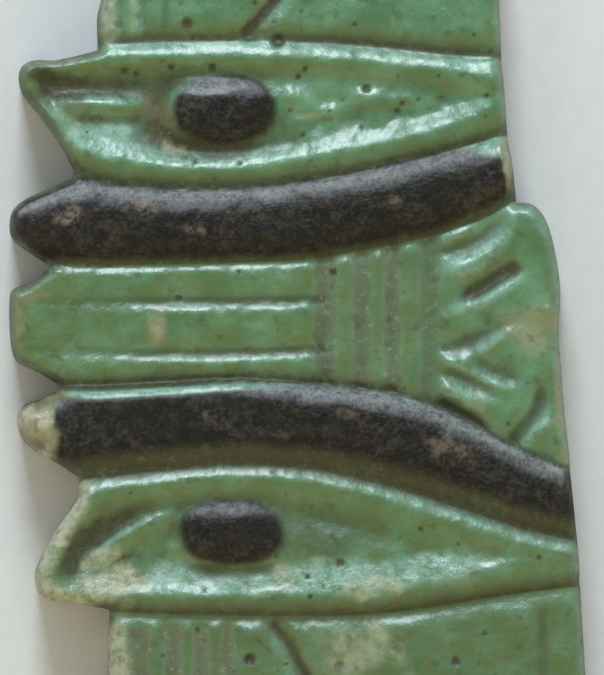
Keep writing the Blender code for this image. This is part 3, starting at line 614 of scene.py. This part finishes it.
for x, y, wide, tall, turn, share in (
        (11.9, 0.3, 2.6, 3.4, 80, 0.6), (13.1, -3.0, 0.9, 6.0, 0, 0.7),
        (13.2, -6.4, 1.0, 1.2, 0, 0.8), (-7.0, 0.1, 1.0, 1.8, 0, 0.65),
        (9.0, -3.7, 0.8, 1.0, 0, 0.5), (-14.0, 0.3, 0.9, 3.6, 0, 0.6),
        (-13.2, 1.7, 1.6, 0.8, 20, 0.5)):
    lay(stain, share * column * patch(x, y, wide, tall, turn, 0.5, seed=int(7 * x) % 71))
lay(bare, 0.35 * column * patch(-7.0, 0.4, 0.9, 1.5, 0, 0.6, seed=9))
lay(bare, 0.2 * column * patch(11.8, -0.6, 1.6, 1.8, 0, 0.6, seed=10))


# The skin. The pressed face is a little wavy, and the glaze has pinholes where gas broke
# through, chips where it has flaked off the pale paste, and brown and grey dirt in what is
# sunk. Glaze pools thick and turquoise on the slopes and runs thin over the crests. Painted
# shade darkens what is sunk, the left rims and the slopes that face away from the window, and
# a painted highlight lies on the slopes that face the window.

PINHOLES = (
    (-5.5, 15.25, 0.26), (-1.0, 14.4, 0.34), (1.75, 2.9, 0.18), (-5.95, 1.55, 0.18),
    (-2.4, -16.4, 0.3), (2.1, -16.75, 0.24), (7.85, -16.5, 0.24), (-8.65, 12.9, 0.16),
    (0.0, 12.6, 0.14), (-4.25, 13.05, 0.16), (3.4, 12.0, 0.2), (2.1, -11.6, 0.2),
    (9.3, -15.1, 0.13), (-8.8, -15.1, 0.14), (-8.1, -12.35, 0.2), (5.2, 11.3, 0.12),
    (-3.1, 6.0, 0.1), (0.4, 5.2, 0.1), (-12.9, -9.9, 0.1), (-5.0, -14.9, 0.12),
    (-0.4, 10.95, 0.1), (0.25, 9.7, 0.12), (1.55, 10.9, 0.09), (4.95, 10.9, 0.12),
    (3.15, 10.1, 0.11), (2.2, 11.4, 0.08), (6.0, 11.5, 0.08), (7.1, 11.6, 0.08),
    (-6.3, 13.1, 0.15), (-5.1, 8.4, 0.12), (-2.9, 8.3, 0.13), (6.1, -9.9, 0.12),
)
CREAM_PATCHES = (
    (-9.3, -12.6, 4.4, 1.9, 0, 1.0), (-9.6, -11.2, 2.6, 1.0, 30, 0.7),
    (-12.7, -12.4, 1.6, 2.8, 0, 0.8), (-11.9, -9.9, 6.0, 1.3, 60, 1.0),
    (3.6, -12.8, 3.4, 1.1, 5, 0.7), (-0.7, -12.3, 1.4, 1.6, 30, 0.6),
    (-6.2, 9.0, 1.3, 0.8, -30, 0.5), (0.6, 10.7, 2.2, 0.35, 8, 0.35),
    (-8.9, -16.2, 1.6, 5.0, 0, 0.8), (2.8, -15.8, 3.0, 1.6, -30, 0.35),
    (4.4, -15.2, 2.6, 0.5, -55, 0.3), (10.2, 8.4, 0.8, 1.7, 10, 0.6),
    (-12.0, 13.3, 3.6, 0.4, 3, 0.35), (-11.6, 10.6, 0.8, 2.4, 40, 0.3),
    (-9.4, 15.9, 1.0, 3.6, 0, 0.4), (-8.3, 15.6, 0.5, 3.0, 0, 0.2),
    (2.6, -16.2, 4.6, 2.4, -20, 0.5), (4.4, -15.6, 3.4, 1.0, -50, 0.6),
)
RIM_EDGE = (0.5, 0.75)
PITS = 70


def blurred(field, radius):
    """The field, evened out over a radius in steps of the net."""
    reach = int(np.ceil(2.2 * radius))
    weights = np.exp(-0.5 * (np.arange(-reach, reach + 1) / radius) ** 2)
    weights /= weights.sum()
    for axis in (0, 1):
        pads = [(0, 0), (0, 0)]
        pads[axis] = (reach, reach)
        padded = np.pad(field, pads, mode="edge")
        size = field.shape[axis]
        field = sum(w * np.take(padded, range(k, k + size), axis) for k, w in enumerate(weights))
    return field


chance = np.random.default_rng(7)
pit_x, pit_y = chance.uniform(-12, 12.5, PITS), chance.uniform(-17.5, 17, PITS)
small_pits = [pit for pit in zip(pit_x, pit_y, chance.uniform(0.06, 0.13, PITS))
              if abs(pit[1]) > 2.6]
Z = blurred(Z, 1.6)
Z -= RIM_EDGE[1] * np.clip(1 - rim / RIM_EDGE[0], 0, 1) ** 2
Z += 0.12 * (cloud(X, Y, 3.4, 91) - 0.5) + 0.1 * (cloud(X, Y, 1.3, 92) - 0.5)
Z += 0.04 * fringe(0.6, 94) + 0.02 * (cloud(X, Y, 0.3, 95) - 0.5)
for x, y, radius in (*PINHOLES, *small_pits):
    away = np.hypot(X - x, Y - y)
    Z -= 0.55 * radius * (1 - ease(away, 0.3 * radius, 1.2 * radius))
    lay(grime_and_shade, 1 - ease(away, 0.7 * radius, 1.5 * radius))

# Painted shade: dirt colour in the hollows and on the slopes that face away from the window, olive
# on those slopes and the left rims.
smooth_face = blurred(Z, 4)
hollow = np.clip((smooth_face - Z) / 0.2, 0, 1)
crest = np.clip((Z - smooth_face) / 0.12, 0, 1)
lean = np.gradient(blurred(Z, 1.2), axis=0) / np.maximum(np.gradient(Y, axis=0), 0.01)
grime_and_shade = np.clip(grime_and_shade + 0.5 * hollow + 0.3 * np.clip(lean - 0.15, 0, 1), 0, 1)
olive_and_shade = np.clip(olive_and_shade + 1.1 * np.clip(lean, 0, 1) + 0.7 * crest * ease(lean, -0.25, 0.05)
                + 0.3 * ease(-X, 7.0, 13.0) + 0.5 * ease(-rim, -0.5, 0.0) * (X < 0), 0, 1)
lay(grime_and_shade, 0.75 * ease(-rim, -0.55, 0.0) * ease(-X, 2.0, 6.0))
# Turquoise in patches of thick glaze, and painted highlight on the slopes that face the window.
pool_and_highlight = np.clip(pool_and_highlight + 0.9 * eye_a * patch(-9.2, 9.6, 5.2, 1.9, 0, 0.3, seed=21)
               + 0.7 * eye_b * patch(-6.2, -12.0, 3.0, 1.6, 0, 0.3, seed=22)
               + 0.6 * eye_b * patch(6.5, -11.6, 6.0, 1.4, 8, 0.4, seed=23)
               + 0.7 * eye_b * patch(1.4, -11.9, 4.5, 1.5, 5, 0.4, seed=26)
               + 0.7 * eye_b * patch(-0.5, -12.6, 17.0, 1.2, 1, 0.3, seed=27)
               + 0.6 * cheek_a * patch(-9.4, 15.8, 1.2, 5.0, 0, 0.3, seed=24)
               + 0.6 * cheek_a * patch(-8.0, 16.2, 0.7, 5.0, 0, 0.3, seed=25)
               + 0.9 * np.clip(-lean, 0, 1) * ease(rim, 0.1, 0.5), 0, 1)
for k, (x, y, wide, tall, turn, share) in enumerate(CREAM_PATCHES):
    spot = share * patch(x, y, wide, tall, turn, 0.7, seed=30 + k)
    lay(bare, spot)
    Z -= 0.03 * spot


# The plaque's body. It is one lump of paste from the face to the back, so its mesh is one
# closed skin: the worked face, the walls that lean out below its edge down to the back, and
# the back, trimmed flat by hand.

MM = 0.001
WALL_RINGS = 10


def outward_of(loop_x, loop_y):
    """The direction out of the plaque at each point of its edge, evened along it."""
    step_x = np.roll(loop_x, -2) - np.roll(loop_x, 2)
    step_y = np.roll(loop_y, -2) - np.roll(loop_y, 2)
    length = np.hypot(step_x, step_y)
    return step_y / length, -step_x / length


used = np.unique(np.concatenate([quads.ravel(), threes.ravel()]))
place = np.full(X.size, -1)
place[used] = np.arange(len(used))
points = np.stack([X.ravel()[used], Y.ravel()[used], Z.ravel()[used]], 1)
masks = {name: field.ravel()[used] for name, field in (
    ("paint", paint), ("bare", bare), ("stain", stain), ("pool_and_highlight", pool_and_highlight), ("grime_and_shade", grime_and_shade),
    ("olive_and_shade", olive_and_shade), ("ash", ash), ("worn", worn))}
faces = [tuple(place[list(f)].tolist()) for f in face_corners]

edge = place[edge_loop]
edge_x, edge_y, edge_z = points[edge].T
out_x, out_y = outward_of(edge_x, edge_y)
wall_masks = {name: [] for name in masks}
previous = edge
for k in range(1, WALL_RINGS + 1):
    share = k / WALL_RINGS
    x = edge_x + out_x * DRAFT * share
    y = edge_y + out_y * DRAFT * share
    z = edge_z * (1 - share)
    if k < WALL_RINGS:
        swell = 0.05 * (cloud(x * 1.3 + y, z * 1.5 + 3, 1.2, 97) - 0.5)
        x, y = x + out_x * swell, y + out_y * swell
    ring = len(points) + np.arange(len(edge))
    points = np.vstack([points, np.stack([x, y, z], 1)])
    for name in masks:
        kept_share = {"paint": 1 - ease(share, 0.05, 0.3)}.get(name, 1.0)
        base = masks[name][edge] * kept_share
        if name == "stain":
            base = np.maximum(base, 0.3 + 0.3 * ease(share, 0.2, 1.0))
        if name == "olive_and_shade":
            base = np.maximum(base, 0.9)
        wall_masks[name].append(base)
    turn = np.roll(np.arange(len(edge)), -1)
    faces += [(int(a), int(c), int(d), int(b)) for a, b, c, d in
              zip(previous, previous[turn], ring, ring[turn])]
    previous = ring
for name in masks:
    masks[name] = np.concatenate([masks[name]] + wall_masks[name])

foot = points[previous][:, :2]
grid_x, grid_y = np.meshgrid(np.arange(-14.2, 14.3, 0.7), np.arange(-22.6, 22.7, 0.7))
depth, _, _ = depth_inside(foot, grid_x, grid_y)
inner = np.stack([grid_x[depth > 0.4], grid_y[depth > 0.4]], 1)
flat = [Vector(p) for p in np.vstack([foot, inner]).tolist()]
count = len(foot)
rounds = [(k, (k + 1) % count) for k in range(count)]
_, _, triangles, from_input, _, _ = delaunay_2d_cdt(flat, rounds, [], 1, 1e-7)
back_of = [min(sources) for sources in from_input]
first_inner = len(points)
inner_z = 0.04 * cloud(inner[:, 0], inner[:, 1], 3.0, 98) * ease(depth[depth > 0.4], 0.4, 1.4)
points = np.vstack([points, np.column_stack([inner, inner_z])])
for name in masks:
    filler = {"stain": 0.8}.get(name, 0.0)
    masks[name] = np.concatenate([masks[name], np.full(len(inner), filler)])
for a, b, c in triangles:
    corners = []
    for k in (c, b, a):
        source = back_of[k]
        corners.append(int(previous[source]) if source < count else first_inner + source - count)
    faces.append(tuple(corners))

mesh = bpy.data.meshes.new("amulet_faience")
mesh.from_pydata((points * MM).tolist(), [], faces)
for name, values in masks.items():
    layer = mesh.attributes.new(name, "FLOAT", "POINT")
    layer.data.foreach_set("value", values.astype(np.float32))
shape = bmesh.new()
shape.from_mesh(mesh)
bmesh.ops.recalc_face_normals(shape, faces=shape.faces)
shape.to_mesh(mesh)
shape.free()
mesh.shade_smooth()
amulet = bpy.data.objects.new("amulet_faience", mesh)
bpy.context.scene.collection.objects.link(amulet)


# The glaze. Green copper glaze over pale quartz paste, fired on in one go: turquoise where it is
# thick and olive where it is thin, black over the manganese paint of the brows and pupils, with
# dirt in what is sunk and cream where it has worn through. The turquoise also serves as painted
# highlight, the olive and the dirt as painted shade, and a grey as a painted sheen on the black.

GREEN = (0.128, 0.295, 0.165, 1)
GREEN_DEEP = (0.064, 0.175, 0.078, 1)
# These three also serve as painted light: the turquoise as painted highlight, the olive and the
# dirt colour as painted shade.
TURQUOISE_AND_HIGHLIGHT = (0.27, 0.47, 0.38, 1)
OLIVE_AND_SHADE = (0.10, 0.165, 0.05, 1)
DIRT_AND_SHADE = (0.042, 0.045, 0.017, 1)
CREAM = (0.47, 0.47, 0.34, 1)
TAN = (0.26, 0.235, 0.12, 1)
ASH = (0.15, 0.205, 0.13, 1)
BLACK = (0.007, 0.007, 0.006, 1)
BLACK_WORN = (0.056, 0.05, 0.038, 1)
# A painted sheen on the black paint where it faces the window.
BLACK_LIT = (0.28, 0.29, 0.29, 1)
WORN = (0.19, 0.155, 0.115, 1)

glaze = bpy.data.materials.new("faience_glaze")
glaze.use_nodes = True
nodes, links = glaze.node_tree.nodes, glaze.node_tree.links
shader = nodes["Principled BSDF"]
shader.inputs["IOR"].default_value = 1.5
shader.inputs["Coat Roughness"].default_value = 0.22


def node(kind, **values):
    """A node, with its inputs set by name or linked to another node's output."""
    made = nodes.new(kind)
    for key, value in values.items():
        if key.startswith("set_"):
            setattr(made, key[4:], value)
            continue
        name = key.replace("_", " ")
        socket = made.inputs[int(key[3:])] if key.startswith("at_") else made.inputs[name]
        if isinstance(value, bpy.types.NodeSocket):
            links.new(value, socket)
        else:
            socket.default_value = value
    return made


place_on = node("ShaderNodeTexCoord").outputs["Object"]


def mottle(scale, detail=4.0, rough=0.6, seed=0.0):
    """Noise over the object, scale in cells a metre."""
    moved = node("ShaderNodeMapping", Vector=place_on, Location=(seed, seed * 0.7, seed * 0.3))
    return node("ShaderNodeTexNoise", Vector=moved.outputs[0], Scale=scale, Detail=detail,
                Roughness=rough).outputs["Fac"]


def between(value, low, high):
    """value, from 0 at low to 1 at high."""
    return node("ShaderNodeMapRange", at_0=value, at_1=low, at_2=high,
                set_interpolation_type="SMOOTHSTEP").outputs[0]


def mask(name):
    return node("ShaderNodeAttribute", set_attribute_name=name).outputs["Fac"]


def times(a, b):
    return node("ShaderNodeMath", at_0=a, at_1=b, set_operation="MULTIPLY").outputs[0]


def plus(a, b):
    return node("ShaderNodeMath", at_0=a, at_1=b, set_operation="ADD").outputs[0]


def mixed(share, first, second):
    """A colour between two others: the second one by its share."""
    made = nodes.new("ShaderNodeMix")
    made.data_type = "RGBA"
    for socket, value in ((made.inputs[0], share), (made.inputs[6], first),
                          (made.inputs[7], second)):
        if isinstance(value, bpy.types.NodeSocket):
            links.new(value, socket)
        else:
            socket.default_value = value
    return made.outputs[2]


broad, middling, fine = mottle(380, 5), mottle(1500, 5, 0.7, 3.0), mottle(5000, 3, 0.6, 7.0)
blotch = between(mottle(900, 5, 0.7, 11.0), 0.38, 0.66)
colour = mixed(between(broad, 0.35, 0.65), GREEN_DEEP, GREEN)
# Olive: thin glaze, and painted shade on the slopes that face away from the window.
colour = mixed(times(mask("olive_and_shade"), plus(0.35, times(blotch, 0.65))), colour, OLIVE_AND_SHADE)
# Turquoise: thick glaze, and painted highlight on the slopes that face the window.
colour = mixed(times(mask("pool_and_highlight"), between(middling, 0.3, 0.6)), colour, TURQUOISE_AND_HIGHLIGHT)
colour = mixed(times(mask("stain"), between(middling, 0.2, 0.55)), colour, TAN)
colour = mixed(times(mask("ash"), between(middling, 0.2, 0.55)), colour, ASH)
# Dirt, and painted shade in hollows, creases and on the slopes that face away.
colour = mixed(times(mask("grime_and_shade"), between(middling, 0.05, 0.5)), colour, DIRT_AND_SHADE)
flakes = between(plus(times(middling, 0.7), times(fine, 0.3)), 0.36, 0.6)
colour = mixed(times(mask("bare"), plus(0.25, times(flakes, 0.75))), colour, CREAM)
grains = times(between(mottle(3000, 4, 0.7, 13.0), 0.55, 0.72), plus(0.12, mask("ash")))
colour = mixed(times(grains, 0.48), colour, CREAM)
specks = between(mottle(1300, 3, 0.5, 17.0), 0.58, 0.72)
colour = mixed(times(specks, 0.4), colour, DIRT_AND_SHADE)
colour = mixed(times(between(fine, 0.5, 0.75), 0.35), colour, GREEN_DEEP)
rubbed = times(between(plus(times(middling, 0.6), times(fine, 0.4)), 0.42, 0.68),
               plus(0.35, times(between(broad, 0.35, 0.6), 0.65)))
black = mixed(rubbed, BLACK, BLACK_WORN)
# Painted highlight: a grey sheen on the black where its slopes face the window.
lit = times(between(mask("pool_and_highlight"), 0.2, 0.8),
            between(plus(times(middling, 0.5), times(fine, 0.5)), 0.2, 0.68))
black = mixed(lit, black, BLACK_LIT)
painted = between(plus(mask("paint"), times(middling, 0.4)), 0.3, 1.1)
colour = mixed(painted, colour, black)
colour = mixed(times(mask("worn"), between(middling, 0.35, 0.6)), colour, WORN)
links.new(colour, shader.inputs["Base Color"])
roughness = plus(0.28, plus(times(blotch, 0.1), plus(times(mask("grime_and_shade"), 0.25),
                                                     times(painted, 0.08))))
links.new(roughness, shader.inputs["Roughness"])
dull = between(plus(mask("grime_and_shade"), times(plus(mask("bare"), mask("ash")), 0.7)), 0.0, 0.9)
coat = times(plus(1.0, times(painted, -0.9)), plus(1.0, times(dull, -0.85)))
links.new(times(coat, 0.5), shader.inputs["Coat Weight"])
links.new(plus(0.5, times(painted, -0.25)), shader.inputs["Specular IOR Level"])
height = plus(times(mottle(2100, 3, 0.55, 5.0), 0.7), times(fine, plus(0.2, times(painted, 0.35))))
bump = node("ShaderNodeBump", Height=height, Strength=0.9, Distance=0.12 * MM)
links.new(bump.outputs[0], shader.inputs["Normal"])
mesh.materials.append(glaze)

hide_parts("double_wedjat_amulet")
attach(amulet, "root")


# The setting: a sheet of plain pale paper, a window's soft light from above the upper eye,
# and the camera straight over the middle of the photograph.

PAPER = (0.74, 0.765, 0.79, 1)
PAPER_FIBRE = tuple(0.96 * c for c in PAPER[:3]) + (1,)
WARM_ROOM, COOL_ROOM = (1.06, 0.90, 0.53, 1), (0.49, 0.55, 0.69, 1)
CEILING = (0.10, 0.10, 0.09, 1)
VIEW_DISTANCE, HALF_THICKNESS = 0.5, 0.003
PHOTO_HEIGHT = 675 * 0.05 * MM
PHOTO_CENTRE = (0.2 * MM, -0.375 * MM)
SENSOR = 36

floor_mesh = bpy.data.meshes.new("paper")
floor_mesh.from_pydata([(-1.5, -1.5, 0), (1.5, -1.5, 0), (1.5, 1.5, 0), (-1.5, 1.5, 0)], [],
                       [(0, 1, 2, 3)])
floor = bpy.data.objects.new("paper", floor_mesh)
floor.location.z = -0.03 * MM
bpy.context.scene.collection.objects.link(floor)
paper = bpy.data.materials.new("paper")
paper.use_nodes = True
nodes, links = paper.node_tree.nodes, paper.node_tree.links  # node() now works on the paper
shader = nodes["Principled BSDF"]
shader.inputs["Roughness"].default_value = 0.9
shader.inputs["Specular IOR Level"].default_value = 0.1
place_on = node("ShaderNodeTexCoord").outputs["Object"]
sheet = mixed(between(mottle(900, 4), 0.3, 0.7), PAPER, PAPER_FIBRE)
links.new(sheet, shader.inputs["Base Color"])
floor_mesh.materials.append(paper)
floor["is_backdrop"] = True

world = bpy.data.worlds.new("room")
bpy.context.scene.world = world
world.use_nodes = True
nodes, links = world.node_tree.nodes, world.node_tree.links  # and here on the room's light
direction = node("ShaderNodeTexCoord").outputs["Generated"]
axes = node("ShaderNodeSeparateXYZ", Vector=direction).outputs
room = mixed(between(axes["Y"], -0.9, 0.9), WARM_ROOM, COOL_ROOM)
room = mixed(times(between(axes["Z"], 0.6, 1.0), 0.6), room, CEILING)
links.new(room, nodes["Background"].inputs["Color"])

window = bpy.data.lights.new("window", "AREA")
window.shape = "RECTANGLE"
window.size, window.size_y = 0.11, 0.20
window.energy = 1.41
window.color = (0.82, 0.93, 1.0)
window_at = bpy.data.objects.new("window", window)
window_at.location = (-0.03, 0.35, 0.28)
window_at.rotation_mode = "QUATERNION"
window_at.rotation_quaternion = (-window_at.location).to_track_quat("-Z", "Y")
bpy.context.scene.collection.objects.link(window_at)

camera = bpy.data.cameras.new("camera")
camera.sensor_width = SENSOR
camera.lens = SENSOR * (VIEW_DISTANCE - HALF_THICKNESS) / PHOTO_HEIGHT
camera.clip_start, camera.clip_end = 0.05, 10
camera_at = bpy.data.objects.new("camera", camera)
camera_at.location = (*PHOTO_CENTRE, VIEW_DISTANCE)
bpy.context.scene.collection.objects.link(camera_at)
bpy.context.scene.camera = camera_at
bpy.context.scene.view_settings.view_transform = "Standard"

low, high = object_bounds()
